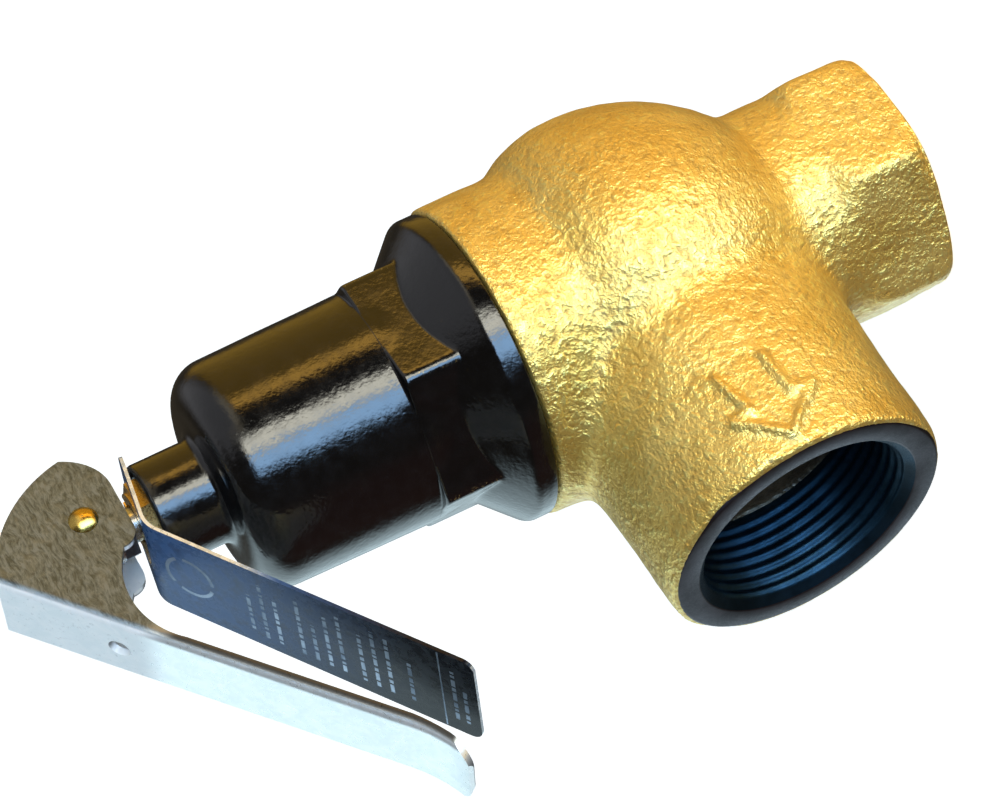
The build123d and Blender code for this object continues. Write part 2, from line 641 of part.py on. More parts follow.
lip = WEB_OFFSET - LIP_DEPTH
under = WEB_OFFSET - LEVER_SHEET
with BuildPart() as lever:
    with BuildSketch(pin_side):
        with BuildLine():
            Line(on_web(WEB_BACK, WEB_OFFSET), on_web(CURL_START, WEB_OFFSET))
            ThreePointArc(
                on_web(CURL_START, WEB_OFFSET), on_web(70.0, WEB_OFFSET + 0.7), on_web(HANDLE_TIP, WEB_OFFSET + 2.3)
            )
            Line(on_web(HANDLE_TIP, WEB_OFFSET + 2.3), on_web(HANDLE_TIP + 0.6, under + 2.1))
            ThreePointArc(on_web(HANDLE_TIP + 0.6, under + 2.1), on_web(70.0, lip + 0.9), on_web(CURL_START, lip))
            Line(on_web(CURL_START, lip), on_web(EAR_REACH, lip))
            ThreePointArc(on_web(EAR_REACH, lip), (17.8, -0.4), (7.9, -3.6))
            ThreePointArc((7.9, -3.6), (7.1, -5.8), (4.8, -6.8))
            Line((4.8, -6.8), heel_point(0))
            Spline(*[heel_point(sweep) for sweep in (0, HEEL_SWEEP / 3, HEEL_SWEEP * 2 / 3, HEEL_SWEEP)])
            ThreePointArc(heel_point(HEEL_SWEEP), (-8.6, 8.0), on_web(WEB_BACK, WEB_OFFSET))
        make_face()
    extrude(amount=LEVER_HALF_WIDTH, both=True)
    fillet(
        lever.edges().filter_by(
            lambda e: abs(abs(e.center().Y) - LEVER_HALF_WIDTH) < 0.01
            and (e.center().Z - PIN_Z) * cos(lever_slope) + e.center().X * sin(lever_slope) > WEB_OFFSET - 0.1
            and e.length > 4
        ),
        BEND_R,
    )
    # the hollow between the ears and under the web
    with BuildSketch(pin_side):
        with BuildLine():
            Line(on_web(-16, under), on_web(CURL_START, under))
            ThreePointArc(on_web(CURL_START, under), on_web(70.0, under + 0.7), on_web(HANDLE_TIP + 0.6, under + 2.4))
            Polyline(
                on_web(HANDLE_TIP + 0.6, under + 2.4), on_web(80, 10), on_web(40, -14), on_web(-16, -30),
                on_web(-16, under),
            )
        make_face()
    extrude(amount=LEVER_HALF_WIDTH - LEVER_SHEET, both=True, mode=Mode.SUBTRACT)
    # the tip is rounded in plan
    web_x, web_z = on_web(0, WEB_OFFSET)
    web_plane = Plane(
        origin=(web_x, 0, PIN_Z + web_z),
        x_dir=(cos(lever_slope), 0, -sin(lever_slope)),
        z_dir=(sin(lever_slope), 0, cos(lever_slope)),
    )
    with BuildSketch(web_plane):
        with Locations(((HANDLE_TIP + 0.4 - 40) / 2, 0)):
            tip_outline = Rectangle(HANDLE_TIP + 0.4 + 40, 2 * LEVER_HALF_WIDTH)
        fillet(tip_outline.vertices().sort_by(Axis.X)[-2:], TIP_CORNER_R)
    extrude(amount=40, both=True, mode=Mode.INTERSECT)
    # hole through the web, and the pin's holes through the ears
    with BuildSketch(web_plane):
        with Locations((WEB_HOLE_ALONG, 0)):
            Circle(WEB_HOLE_R)
    extrude(amount=4, both=True, mode=Mode.SUBTRACT)
    with BuildSketch(pin_side):
        Circle(PIN_R)
    extrude(amount=LEVER_HALF_WIDTH + 1, both=True, mode=Mode.SUBTRACT)
save(lever, "lever")
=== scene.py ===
"""Pressure relief valve: cast bronze body, black bonnet, lift lever and nameplate.

Works in metres in the model's frame: +Z up the stem, +X towards the outlet.
"""
import math

import bpy
from mathutils import Matrix, Vector, noise


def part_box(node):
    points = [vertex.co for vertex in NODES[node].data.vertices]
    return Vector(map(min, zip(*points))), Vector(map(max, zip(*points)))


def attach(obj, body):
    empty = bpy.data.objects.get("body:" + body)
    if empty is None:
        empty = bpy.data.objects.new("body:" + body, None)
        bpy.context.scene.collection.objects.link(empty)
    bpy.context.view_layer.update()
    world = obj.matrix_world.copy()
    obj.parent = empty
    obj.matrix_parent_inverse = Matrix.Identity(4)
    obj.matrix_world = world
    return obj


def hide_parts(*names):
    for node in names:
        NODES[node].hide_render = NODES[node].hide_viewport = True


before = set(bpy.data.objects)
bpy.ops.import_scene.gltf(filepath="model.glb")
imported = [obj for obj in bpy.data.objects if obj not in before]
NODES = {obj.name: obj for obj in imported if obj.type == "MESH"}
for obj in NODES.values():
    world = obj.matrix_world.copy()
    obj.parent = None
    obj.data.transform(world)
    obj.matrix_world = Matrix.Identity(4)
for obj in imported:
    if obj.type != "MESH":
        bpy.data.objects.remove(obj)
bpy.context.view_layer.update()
MM = 0.001

# the outlet boss: height of its axis, and its radius, in millimetres
OUTLET_Z = 49.1
BOSS_R = 26.3
# the casting is opened to these radii at the two mouths, clear of the machined ports
OUTLET_MOUTH_R = 20.95
INLET_MOUTH_R = 16.4
# turns of both pipe threads are this far apart, in millimetres, and each is drawn in this many steps
THREAD_PITCH = 2.21
THREAD_STEPS = 8

# where the camera stands, in degrees around the stem from +X and above the floor
VIEW_AZIMUTH = 58.77
VIEW_ELEVATION = 14.2
VIEW_ROLL = 115.05
VIEW_DISTANCE = 0.650


# ---------------------------------------------------------------- camera, floor and light
def add_camera():
    az, el, roll = (math.radians(a) for a in (VIEW_AZIMUTH, VIEW_ELEVATION, VIEW_ROLL))
    towards = Vector((math.cos(el) * math.cos(az), math.cos(el) * math.sin(az), math.sin(el)))
    right = Vector((-math.sin(az), math.cos(az), 0))
    up = right.cross(towards) * -1
    cam_right = right * math.cos(roll) - up * math.sin(roll)
    cam_up = right * math.sin(roll) + up * math.cos(roll)
    target = Vector((0, 0, 0.075)) - cam_right * 0.0015 - cam_up * 0.0082
    data = bpy.data.cameras.new("camera")
    data.lens = 138
    data.sensor_width = 36
    data.clip_start = 0.05
    data.clip_end = 50
    camera = bpy.data.objects.new("camera", data)
    turn = Matrix((cam_right, cam_up, towards)).transposed().to_4x4()
    camera.matrix_world = Matrix.Translation(target + towards * VIEW_DISTANCE) @ turn
    bpy.context.scene.collection.objects.link(camera)
    bpy.context.scene.camera = camera


class Nodes:
    """A node tree with short ways to add nodes to it."""

    def __init__(self, tree):
        self.tree = tree
        self.tree.nodes.clear()

    def add(self, kind, **settings):
        node = self.tree.nodes.new(kind)
        for name, value in settings.items():
            setattr(node, name, value)
        return node

    def link(self, value, socket):
        if isinstance(value, bpy.types.NodeSocket):
            self.tree.links.new(value, socket)
        else:
            socket.default_value = value

    def math(self, operation, a, b=0.0, c=0.0):
        node = self.add("ShaderNodeMath", operation=operation)
        for value, socket in zip((a, b, c), node.inputs):
            self.link(value, socket)
        return node.outputs[0]

    def vmath(self, operation, a, b=(0, 0, 0)):
        node = self.add("ShaderNodeVectorMath", operation=operation)
        self.link(a, node.inputs[0])
        if operation == "SCALE":
            self.link(b, node.inputs["Scale"])
        else:
            self.link(b, node.inputs[1])
        return node.outputs["Value"] if operation in ("DOT_PRODUCT", "LENGTH") else node.outputs["Vector"]

    def ramp(self, value, lowest, highest, start=0.0, end=1.0):
        node = self.add("ShaderNodeMapRange", interpolation_type="SMOOTHSTEP")
        for item, name in ((value, "Value"), (lowest, "From Min"), (highest, "From Max"),
                           (start, "To Min"), (end, "To Max")):
            self.link(item, node.inputs[name])
        return node.outputs["Result"]

    def mix(self, factor, a, b):
        node = self.add("ShaderNodeMix", data_type="RGBA")
        self.link(factor, node.inputs["Factor"])
        self.link(a, node.inputs[6])
        self.link(b, node.inputs[7])
        return node.outputs[2]

    def noise(self, vector, scale, detail=3.0, roughness=0.55, distortion=0.0):
        node = self.add("ShaderNodeTexNoise")
        self.link(vector, node.inputs["Vector"])
        for name, value in (("Scale", scale), ("Detail", detail), ("Roughness", roughness),
                            ("Distortion", distortion)):
            node.inputs[name].default_value = value
        return node.outputs["Fac"]

    def bump(self, height, distance, strength):
        node = self.add("ShaderNodeBump")
        node.inputs["Distance"].default_value = distance
        node.inputs["Strength"].default_value = strength
        self.link(height, node.inputs["Height"])
        return node.outputs["Normal"]

    def place(self):
        return self.add("ShaderNodeTexCoord").outputs["Object"]


def rgb(r, g, b):
    return (r, g, b, 1.0)


def brighter(colour, times, more=0.0):
    return rgb(*(min(1.0, c * times + more) for c in colour))


# soft cards around the object: azimuth from the camera (+ to its right), half width, softness,
# lowest and highest elevation, softness, colour
LIGHT_CARDS = (
    (4.0, 9.5, 6.0, -62, 32, 7, (3.3, 5.7, 9.0)),
    (22.0, 7.5, 5.0, -62, 32, 7, (8.2, 8.0, 6.8)),
    (67.0, 8.0, 5.0, -55, 2, 8, (4.3, 2.4, 0.45)),
    (66.0, 24.0, 12.0, 8, 50, 14, (1.6, 1.4, 1.0)),
    (108.0, 38.0, 6.0, -58, 10, 10, (0.71, 0.425, 0.07)),
    (-146.0, 23.0, 13.0, -30, 66, 10, (1.10, 1.42, 1.54)),
    (-80.0, 30.0, 12.0, -60, 25, 12, (0.11, 0.06, 0.045)),
    (30.0, 85.0, 22.0, -90, -54, 12, (1.00, 0.62, 0.06)),
    (98.0, 58.0, 14.0, 18, 74, 10, (0.42, 0.42, 0.44)),
)


def add_world():
    """White where the camera looks past the object, and soft cards wherever light comes from."""
    world = bpy.data.worlds.new("studio")
    bpy.context.scene.world = world
    world.use_nodes = True
    n = Nodes(world.node_tree)
    split = n.add("ShaderNodeSeparateXYZ")
    n.link(n.add("ShaderNodeTexCoord").outputs["Generated"], split.inputs[0])
    x, y, z = split.outputs
    turn = n.math("SUBTRACT", n.math("ARCTAN2", y, x), math.radians(VIEW_AZIMUTH))
    height = n.math("ARCSINE", z)
    total = rgb(0.058, 0.048, 0.034)
    for azimuth, half, soft, low, high, rim, colour in LIGHT_CARDS:
        off = n.math("WRAP", n.math("SUBTRACT", turn, math.radians(azimuth)), math.pi, -math.pi)
        off = n.math("ABSOLUTE", off)
        across = n.ramp(off, math.radians(half - soft), math.radians(half + soft), 1.0, 0.0)
        above = n.ramp(height, math.radians(low - rim), math.radians(low + rim))
        below = n.ramp(height, math.radians(high - rim), math.radians(high + rim), 1.0, 0.0)
        amount = n.math("MULTIPLY", across, n.math("MULTIPLY", above, below))
        total = n.mix(amount, total, rgb(*colour))
    background = n.add("ShaderNodeBackground")
    n.link(total, background.inputs["Color"])
    backdrop = n.add("ShaderNodeBackground")
    backdrop.inputs["Color"].default_value = rgb(1, 1, 1)
    seen = n.add("ShaderNodeMixShader")
    n.link(n.add("ShaderNodeLightPath").outputs["Is Camera Ray"], seen.inputs[0])
    n.link(background.outputs[0], seen.inputs[1])
    n.link(backdrop.outputs[0], seen.inputs[2])
    n.link(seen.outputs[0], n.add("ShaderNodeOutputWorld").inputs["Surface"])


def add_floor():
    under = (0, 0, -0.00002)
    bpy.ops.mesh.primitive_circle_add(vertices=96, radius=6.0, fill_type="NGON", location=under)
    floor = bpy.context.object
    floor.name = "floor"
    floor.visible_glossy = False
    n, surface = new_material("floor")
    surface.inputs["Base Color"].default_value = rgb(0.9, 0.9, 0.9)
    surface.inputs["Roughness"].default_value = 0.9
    surface.inputs["Emission Color"].default_value = rgb(1, 1, 1)
    surface.inputs["Emission Strength"].default_value = 0.72
    floor.data.materials.append(bpy.data.materials["floor"])


# ---------------------------------------------------------------- materials
def new_material(name):
    """A material with a Principled surface; returns its nodes and that surface."""
    material = bpy.data.materials.new(name)
    material.use_nodes = True
    n = Nodes(material.node_tree)
    surface = n.add("ShaderNodeBsdfPrincipled")
    n.link(surface.outputs[0], n.add("ShaderNodeOutputMaterial").inputs["Surface"])
    return n, surface


def cast_bronze(name, light, middle, dark, metallic):
    """Sand-cast bronze: fine wrinkles, pits that hold dirt, and tops rubbed bright."""
    n, surface = new_material(name)
    place = n.place()
    wrinkle = n.noise(place, 640, 3, 0.58, 0.25)
    fine = n.noise(place, 1250, 2, 0.55)
    grain = n.noise(place, 2600, 2, 0.6)
    patches = n.noise(place, 75, 4, 0.6, 0.4)
    height = n.math("ADD", n.math("MULTIPLY", wrinkle, 1.5), n.math("MULTIPLY", fine, 0.8))
    height = n.math("ADD", height, n.math("MULTIPLY", grain, 0.18))
    tone = n.mix(n.ramp(patches, 0.34, 0.66), rgb(*middle), rgb(*light))
    tone = n.mix(n.ramp(height, 1.18, 0.92, 0.0, 0.45), tone, rgb(*dark))
    tone = n.mix(n.ramp(height, 1.28, 1.55, 0.0, 0.50), tone, brighter(light, 1.2, 0.06))
    n.link(tone, surface.inputs["Base Color"])
    surface.inputs["Metallic"].default_value = metallic
    surface.inputs["Coat Weight"].default_value = 0.5
    surface.inputs["Coat Roughness"].default_value = 0.38
    n.link(n.ramp(height, 0.95, 1.50, 0.56, 0.36), surface.inputs["Roughness"])
    n.link(n.bump(height, 0.00036, 0.95), surface.inputs["Normal"])


def machined(name, light, dark, roughness, mark_scale=(1, 1, 1)):
    """A turned or brushed metal surface: fine marks stretched along one direction."""
    n, surface = new_material(name)
    place = n.place()
    marks = n.noise(n.vmath("MULTIPLY", place, mark_scale), 2400, 3, 0.7)
    cloud = n.noise(place, 140, 3)
    tone = n.mix(n.ramp(cloud, 0.35, 0.65), rgb(*dark), rgb(*light))
    tone = n.mix(n.ramp(marks, 0.55, 0.75, 0.0, 0.4), tone, brighter(light, 1.6))
    n.link(tone, surface.inputs["Base Color"])
    surface.inputs["Metallic"].default_value = 1.0
    n.link(n.ramp(marks, 0.25, 0.75, roughness * 0.75, roughness * 1.3), surface.inputs["Roughness"])
    n.link(n.bump(marks, 0.00003, 0.6), surface.inputs["Normal"])


def black_paint():
    """Gloss black enamel with orange peel, a little dust, and wear at the hexagon's corners."""
    n, surface = new_material("black_paint_finish")
    place = n.place()
    peel = n.noise(place, 420, 3, 0.55)
    grit = n.noise(place, 1300, 2, 0.5)
    dust = n.noise(place, 2600, 2, 0.5)
    tone = n.mix(n.ramp(peel, 0.3, 0.7), rgb(0.0012, 0.0013, 0.0018), rgb(0.0026, 0.0026, 0.0032))
    tone = n.mix(n.ramp(dust, 0.70, 0.80, 0.0, 0.5), tone, rgb(0.03, 0.03, 0.032))
    split = n.add("ShaderNodeSeparateXYZ")
    n.link(place, split.inputs[0])
    reach = n.vmath("LENGTH", n.vmath("MULTIPLY", place, (1, 1, 0)))
    corner = n.math("MULTIPLY", n.ramp(reach, 0.0230, 0.0233), n.ramp(split.outputs[2], 0.0885, 0.0900))
    chips = n.math("MULTIPLY", corner, n.ramp(n.noise(place, 1500, 4, 0.7), 0.56, 0.66, 0.0, 0.7))
    n.link(n.mix(chips, tone, rgb(0.42, 0.28, 0.10)), surface.inputs["Base Color"])
    n.link(chips, surface.inputs["Metallic"])
    surface.inputs["Specular IOR Level"].default_value = 0.75
    n.link(n.ramp(peel, 0.3, 0.75, 0.12, 0.22), surface.inputs["Roughness"])
    height = n.math("ADD", peel, n.math("MULTIPLY", grit, 0.6))
    n.link(n.bump(height, 0.00009, 0.7), surface.inputs["Normal"])


def wander(n, place, scale):
    """A smoothly changing direction, to bend a texture with."""
    node = n.add("ShaderNodeTexNoise")
    n.link(place, node.inputs["Vector"])
    node.inputs["Scale"].default_value = scale
    node.inputs["Detail"].default_value = 2
    return n.vmath("SUBTRACT", node.outputs["Color"], (0.5, 0.5, 0.5))


def lever_steel():
    """Bright zinc on the web; tumbled streaks under painted shade outside the two ears, and painted shade
    on the lips and the downward-facing cut edges.
    """
    n, surface = new_material("lever_finish_and_shade")
    place = n.place()
    across = n.add("ShaderNodeSeparateXYZ")
    n.link(place, across.inputs[0])
    outside = n.ramp(n.math("ABSOLUTE", across.outputs[1]), 0.0074, 0.0078)
    over_stem = n.ramp(across.outputs[0], 0.0275, 0.0225)
    ear = n.math("MULTIPLY", outside, over_stem)
    swirl = n.vmath("ADD", place, n.vmath("SCALE", wander(n, place, 130), 0.004))
    streaks = n.noise(n.vmath("MULTIPLY", swirl, (0.5, 1.0, 1.7)), 900, 5, 0.72, 0.3)
    blotch = n.noise(place, 260, 4, 0.65, 0.8)
    fine = n.noise(place, 2300, 3, 0.65)
    bright = n.mix(n.ramp(blotch, 0.35, 0.7), rgb(0.86, 0.90, 0.91), rgb(0.97, 0.98, 0.98))
    # painted shade: the ears' outer faces are coloured dark grey under their streaks and blotches
    tumbled_and_shaded = n.mix(n.ramp(streaks, 0.36, 0.64), rgb(0.075, 0.095, 0.115), rgb(0.20, 0.245, 0.29))
    tumbled_and_shaded = n.mix(n.ramp(blotch, 0.45, 0.70, 0.0, 0.35), tumbled_and_shaded, rgb(0.24, 0.27, 0.29))
    facing = n.add("ShaderNodeSeparateXYZ")
    n.link(n.add("ShaderNodeTexCoord").outputs["Normal"], facing.inputs[0])
    # painted shade: faces turned downwards and the lips' sideways faces are coloured near black
    downward_shade = n.ramp(facing.outputs[2], -0.45, -0.7)
    sideways = n.ramp(n.math("ABSOLUTE", facing.outputs[1]), 0.6, 0.85)
    lip_shade = n.math("MULTIPLY", outside, sideways)
    lip_shade = n.math("MULTIPLY", lip_shade, n.ramp(across.outputs[0], 0.0225, 0.0275))
    tone = n.mix(n.math("MAXIMUM", downward_shade, lip_shade), n.mix(ear, bright, tumbled_and_shaded), rgb(0.06, 0.06, 0.06))
    n.link(tone, surface.inputs["Base Color"])
    sheltered = n.math("MULTIPLY", n.math("SUBTRACT", 1.0, outside), over_stem)
    metal = n.math("ADD", 0.66, n.math("MULTIPLY", ear, 0.30))
    n.link(n.math("SUBTRACT", metal, n.math("MULTIPLY", sheltered, 0.58)), surface.inputs["Metallic"])
    roughness = n.math("ADD", n.math("MULTIPLY", ear, 0.12), n.ramp(streaks, 0.3, 0.7, 0.26, 0.38))
    n.link(roughness, surface.inputs["Roughness"])
    height = n.math("MULTIPLY", streaks, n.math("MULTIPLY", ear, 0.8))
    height = n.math("ADD", height, n.math("MULTIPLY", fine, 0.3))
    n.link(n.bump(height, 0.00010, 0.6), surface.inputs["Normal"])


def printed_plate():
    """Black enamel on the plate's outer side, painted shade on its lower edges and a painted blue sheen
    towards the bend, bare aluminium on the rest.
    """
    n, surface = new_material("nameplate_finish_shade_and_sheen")
    place = n.place()
    split = n.add("ShaderNodeSeparateXYZ")
    n.link(n.add("ShaderNodeNewGeometry").outputs["True Normal"], split.inputs[0])
    height = n.add("ShaderNodeSeparateXYZ")
    n.link(place, height.inputs[0])
    # painted shade: the plate's sideways-facing lower edges take the black enamel colour
    sideways = n.ramp(n.math("ABSOLUTE", split.outputs[1]), 0.6, 0.8)
    lower_edge_shade = n.math("MULTIPLY", sideways, n.ramp(height.outputs[2], 0.138, 0.132))
    enamel_and_edge_shade = n.math("MAXIMUM", n.ramp(split.outputs[2], 0.5, 0.7), lower_edge_shade)
    worn = n.noise(place, 500, 4, 0.6)
    fine = n.noise(place, 1900, 3)
    ink = n.mix(n.ramp(worn, 0.35, 0.7), rgb(0.0025, 0.003, 0.006), rgb(0.006, 0.009, 0.016))
    ink = n.mix(n.ramp(fine, 0.70, 0.82, 0.0, 0.3), ink, rgb(0.08, 0.10, 0.13))
    # painted sheen: the enamel turns blue towards the bend
    blue_sheen = n.math("MULTIPLY", n.ramp(height.outputs[2], 0.118, 0.146), n.ramp(worn, 0.2, 0.6, 0.5, 1.0))
    ink = n.mix(blue_sheen, ink, rgb(0.055, 0.135, 0.31))
    bare = n.mix(n.ramp(worn, 0.4, 0.6), rgb(0.55, 0.60, 0.64), rgb(0.74, 0.78, 0.80))
    n.link(n.mix(enamel_and_edge_shade, bare, ink), surface.inputs["Base Color"])
    n.link(n.math("SUBTRACT", 0.6, n.math("MULTIPLY", enamel_and_edge_shade, 0.6)), surface.inputs["Metallic"])
    n.link(n.ramp(worn, 0.3, 0.7, 0.22, 0.34), surface.inputs["Roughness"])
    surface.inputs["Specular IOR Level"].default_value = 0.17
    n.link(n.bump(worn, 0.00006, 0.5), surface.inputs["Normal"])


def rubber():
    """Dull black rubber for the seat disc and the diaphragm."""
    n, surface = new_material("rubber_finish")
    place = n.place()
    cloud = n.noise(place, 300, 4)
    fine = n.noise(place, 1800, 3)
    n.link(n.mix(cloud, rgb(0.012, 0.012, 0.013), rgb(0.035, 0.034, 0.033)), surface.inputs["Base Color"])
    n.link(n.ramp(fine, 0.3, 0.7, 0.55, 0.8), surface.inputs["Roughness"])
    n.link(n.bump(fine, 0.00004, 0.5), surface.inputs["Normal"])


def make_materials():
    cast_bronze("cast_bronze_finish", (0.95, 0.69, 0.19), (0.82, 0.54, 0.11), (0.44, 0.25, 0.05), 0.82)
    # painted shade: a darker copy of the bronze for the faces inside the body
    cast_bronze("bronze_inside_painted_shade", (0.14, 0.10, 0.05), (0.08, 0.055, 0.03), (0.02, 0.015, 0.01), 0.6)
    black_paint()
    lever_steel()
    printed_plate()
    rubber()
    # painted shade: the ports' machined bronze faces are coloured dark grey, and their threads dark blue
    machined("port_face_painted_shade", (0.105, 0.10, 0.12), (0.062, 0.058, 0.070), 0.42, (0.15, 1, 1))
    machined("port_thread_painted_shade", (0.026, 0.066, 0.108), (0.014, 0.035, 0.055), 0.50, (4, 1, 1))
    machined("rivet_finish", (0.85, 0.60, 0.16), (0.55, 0.36, 0.08), 0.24)
    machined("brass_finish", (0.72, 0.52, 0.22), (0.50, 0.34, 0.13), 0.28)
    machined("stainless_finish", (0.60, 0.60, 0.60), (0.42, 0.42, 0.42), 0.26)
    machined("zinc_finish", (0.62, 0.64, 0.66), (0.42, 0.43, 0.45), 0.34)
    machined("spring_finish", (0.30, 0.30, 0.32), (0.16, 0.16, 0.17), 0.30)
    machined("print_silver", (0.36, 0.42, 0.52), (0.14, 0.18, 0.25), 0.42)


NODE_FINISH = {
    "seat_ring": "stainless_finish", "seat_disc": "rubber_finish", "disc_holder": "brass_finish",
    "disc_washer": "stainless_finish", "disc_screw": "stainless_finish", "stem_guide": "brass_finish",
    "diaphragm": "rubber_finish", "clamp_ring": "brass_finish", "lower_diaphragm_washer": "brass_finish",
    "upper_diaphragm_washer": "brass_finish", "diaphragm_nut": "zinc_finish", "stem": "stainless_finish",
    "lower_spring_button": "zinc_finish", "upper_spring_button": "zinc_finish", "spring": "spring_finish",
    "adjusting_screw": "brass_finish", "lock_nut": "brass_finish", "nameplate": "nameplate_finish_shade_and_sheen",
    "stem_head": "stainless_finish", "stem_jam_nut": "zinc_finish", "lever_pin": "rivet_finish",
    "pin_washers": "stainless_finish", "lever": "lever_finish_and_shade", "body": "cast_bronze_finish",
    "bonnet": "black_paint_finish",
}


def finish_cad_nodes():
    for node, material in NODE_FINISH.items():
        part = NODES[node]
        if not part.material_slots:
            part.data.materials.append(bpy.data.materials[material])
        for slot in part.material_slots:
            slot.material = bpy.data.materials[material]


# ---------------------------------------------------------------- meshes
def mesh_object(name, vertices, faces, materials, smooth=True):
    data = bpy.data.meshes.new(name)
    data.from_pydata(vertices, [], faces)
    data.update()
    for material in materials:
        data.materials.append(bpy.data.materials[material])
    if smooth:
        data.shade_smooth()
    piece = bpy.data.objects.new(name, data)
    bpy.context.scene.collection.objects.link(piece)
    return piece


def turned_grid(rows, columns, place):
    """Vertices and faces of a surface turned round an axis, where place(row, angle) is a point."""
    vertices = []
    for row in range(len(rows)):
        for column in range(columns):
            vertices.append(place(rows[row], column * 2 * math.pi / columns))
    faces = []
    for row in range(len(rows) - 1):
        for column in range(columns):
            after = (column + 1) % columns
            a, b = row * columns + column, row * columns + after
            faces.append((a, b, b + columns, a + columns))
    return vertices, faces


def smooth_min(a, b, blend):
    h = max(0.0, min(1.0, 0.5 + 0.5 * (b - a) / blend))
    return b * (1 - h) + a * h - blend * h * (1 - h)


def smooth_max(a, b, blend):
    return -smooth_min(-a, -b, blend)


def hexagon_reach(angle, flats, turn, corner):
    """Distance from the axis to a hexagon with softened corners, in the direction of angle."""
    reach = 1e9
    for side in range(6):
        lean = math.cos(angle - math.radians(turn + 30 + 60 * side))
        if lean > 0.2:
            reach = smooth_min(reach, flats / 2 / lean, corner)
    return reach


def thread_crest(along, angle):
    """How high a pipe thread stands at a point, from 0 at its root to 1 on its flat crest."""
    phase = (along / THREAD_PITCH + angle / (2 * math.pi)) % 1.0
    return min(max(0.0, 1.0 - abs(phase - 0.5) * 2.6) * 1.35, 1.0)


def outlet_port():
    """Machined face, chamfer and tapered thread of the outlet, laid over the cast body's bore."""
    face_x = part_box("body")[1].x / MM
    root, depth, mouth, length = 19.15, 0.50, 1.4, 15.5
    columns = 160
    rows = [(25.0, -0.5, 0), (24.75, -0.12, 0), (24.4, 0.0, 0), (22.5, 0.0, 0), (20.9, 0.0, 0)]
    rows += [(20.6, -0.1, 0), (19.5, -1.3, 0)]
    for step in range(int(length / THREAD_PITCH * THREAD_STEPS)):
        rows.append((root, -mouth - step * THREAD_PITCH / THREAD_STEPS, 1))
    rows.append((root + 0.02, -mouth - length - 0.4, 0))

    def place(row, angle):
        reach, along, threaded = row
        if threaded:
            fade = min(1.0, (-mouth - along) / 1.2 + 0.1, (mouth + length + along) / 2.0 + 0.1)
            reach -= depth * thread_crest(along, angle) * max(0.0, fade) + 0.03 * max(0.0, -along - mouth)
        y, z = reach * math.cos(angle), OUTLET_Z + reach * math.sin(angle)
        return ((face_x + along) * MM, y * MM, z * MM)

    vertices, faces = turned_grid(rows, columns, place)
    piece = mesh_object("outlet_port", vertices, faces, ("port_face_painted_shade", "port_thread_painted_shade"))
    for polygon in piece.data.polygons:
        polygon.material_index = 1 if polygon.index >= 5 * columns else 0
    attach(piece, "valve")


def inlet_port():
    """Machined face and thread of the inlet."""
    root, depth, mouth, length = 14.85, 0.9, 1.2, 14.5
    columns = 128
    rows = [(18.6, 0.35, 0), (18.4, 0.08, 0), (18.1, 0.0, 0), (16.3, 0.0, 0), (16.0, 0.1, 0)]
    rows.append((15.1, 1.1, 0))
    for step in range(int(length / THREAD_PITCH * THREAD_STEPS)):
        rows.append((root, mouth + step * THREAD_PITCH / THREAD_STEPS, 1))
    rows.append((root + 0.02, mouth + length + 0.5, 0))

    def place(row, angle):
        reach, along, threaded = row
        if threaded:
            fade = min(1.0, (along - mouth) / 1.2 + 0.1, (mouth + length + 0.1 - along) / 2.0 + 0.1)
            reach -= depth * thread_crest(along, angle) * max(0.0, fade) + 0.02 * (along - mouth)
        return (reach * math.cos(angle) * MM, -reach * math.sin(angle) * MM, along * MM)

    vertices, faces = turned_grid(rows, columns, place)
    piece = mesh_object("inlet_port", vertices, faces, ("port_face_painted_shade", "port_thread_painted_shade"))
    for polygon in piece.data.polygons:
        polygon.material_index = 1 if polygon.index >= 5 * columns else 0
    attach(piece, "valve")


def tube(points, radius):
    """Vertices and faces of a closed round bar along some points."""
    vertices, faces = [], []
    sides = 10
    count = len(points)
    for index, point in enumerate(points):
        ahead = points[min(index + 1, count - 1)] - points[max(index - 1, 0)]
        ahead.normalize()
        side = ahead.cross(Vector((0.3, 0.5, 0.81))).normalized()
        other = ahead.cross(side)
        for k in range(sides):
            a = 2 * math.pi * k / sides
            vertices.append(point + (side * math.cos(a) + other * math.sin(a)) * radius)
    for ring in range(count - 1):
        for k in range(sides):
            a, b = ring * sides + k, ring * sides + (k + 1) % sides
            faces.append((a, b, b + sides, a + sides))
    faces.append(tuple(range(sides))[::-1])
    faces.append(tuple(range((count - 1) * sides, count * sides)))
    return vertices, faces


# the flow arrow's strokes on the outlet boss: (along the boss, height) in millimetres
ARROW_STROKES = (
    ((45.0, 58.6), (52.4, 51.4)),
    ((52.4, 51.4), (45.0, 43.2)),
    ((45.2, 54.8), (36.5, 56.8)),
    ((45.2, 47.4), (36.5, 48.2)),
    ((45.0, 58.6), (45.2, 54.8)),
    ((45.0, 43.2), (45.2, 47.4)),
)


def arrow_bars():
    """Round bars half sunk in the boss along the arrow's strokes."""
    vertices, faces = [], []
    for (x0, z0), (x1, z1) in ARROW_STROKES:
        points = []
        for k in range(9):
            t = k / 8
            x, z = x0 + (x1 - x0) * t, z0 + (z1 - z0) * t
            y = math.sqrt(BOSS_R**2 - (z - OUTLET_Z) ** 2)
            points.append(Vector((x, y, z)) * MM)
        bar_vertices, bar_faces = tube(points, 0.85 * MM)
        base = len(vertices)
        vertices += bar_vertices
        faces += [tuple(i + base for i in face) for face in bar_faces]
    return vertices, faces


